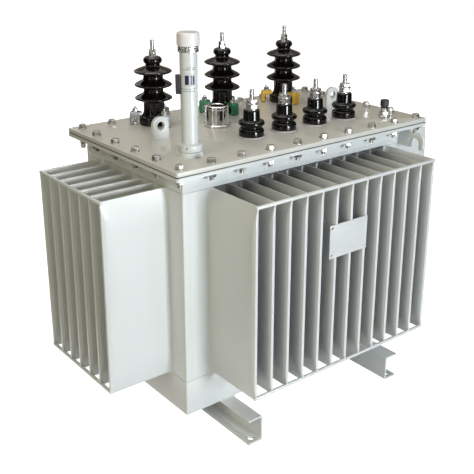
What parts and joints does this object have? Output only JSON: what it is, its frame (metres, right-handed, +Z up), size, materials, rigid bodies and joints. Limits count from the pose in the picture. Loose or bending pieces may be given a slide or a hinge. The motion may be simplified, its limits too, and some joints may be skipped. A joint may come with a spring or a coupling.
{
  "type": "oil-filled distribution transformer",
  "caption": "Oil-filled power transformer: corrugated tank with cooling fins, bolted lid with porcelain bushings, filler pipe, relief valve, lifting lugs and hooks, on channel skids.",
  "frame": {"origin": "on the ground, at the centre of the transformer's footprint", "axes": "+X along the long side, towards the thermometer pocket; -Y towards the front with the low-voltage bushings; +Z up"},
  "size_m": [1.004, 0.7005, 0.9195],
  "materials": {
    "tank_paint": "semi-gloss pale grey enamel",
    "lid_paint": "glossy pale grey enamel",
    "gasket_rubber": "matt black oil-resistant rubber",
    "pale_gasket": "matt pale gasket",
    "porcelain": "glossy very dark brown glaze",
    "bright_zinc": "bright zinc plating",
    "grey_zinc": "dull zinc plating",
    "green_paint": "semi-gloss green enamel",
    "yellow_paint": "semi-gloss yellow enamel",
    "chrome_plate": "polished chrome",
    "white_plastic": "glossy white plastic",
    "black_plastic": "satin black plastic",
    "white_plate": "matt white painted sheet"
  },
  "bodies": {
    "root": {"lower_frame": "tank_paint", "bottom_plate": "tank_paint", "upper_frame": "tank_paint", "lid_gasket": "gasket_rubber", "lid": "lid_paint", "front_wall": "tank_paint", "back_wall": "tank_paint", "left_wall": "tank_paint", "right_wall": "tank_paint", "front_fin_rods": "tank_paint", "back_fin_rods": "tank_paint", "left_fin_rods": "tank_paint", "right_fin_rods": "tank_paint", "left_skid": "tank_paint", "right_skid": "tank_paint", "left_lid_lug": "tank_paint", "right_lid_lug": "tank_paint", "front_right_hook": "tank_paint", "back_left_hook": "tank_paint", "hv_porcelain_left": "porcelain", "hv_porcelain_middle": "porcelain", "hv_porcelain_right": "porcelain", "hv_clamps_left": "grey_zinc", "hv_clamps_middle": "green_paint", "hv_clamps_right": "yellow_paint", "hv_terminals": "bright_zinc", "lv_porcelain_1": "porcelain", "lv_porcelain_2": "porcelain", "lv_porcelain_3": "porcelain", "lv_porcelain_4": "porcelain", "lv_gaskets": "pale_gasket", "lv_terminals": "bright_zinc", "filler_boss": "tank_paint", "filler_flange": "tank_paint", "filler_pipe": "tank_paint", "filler_ring": "bright_zinc", "filler_cap": "white_plastic", "level_gauge": "black_plastic", "relief_valve": "chrome_plate", "pocket_base": "bright_zinc", "pocket_cap": "black_plastic", "nameplate": "white_plate"}
  },
  "joints": []
}
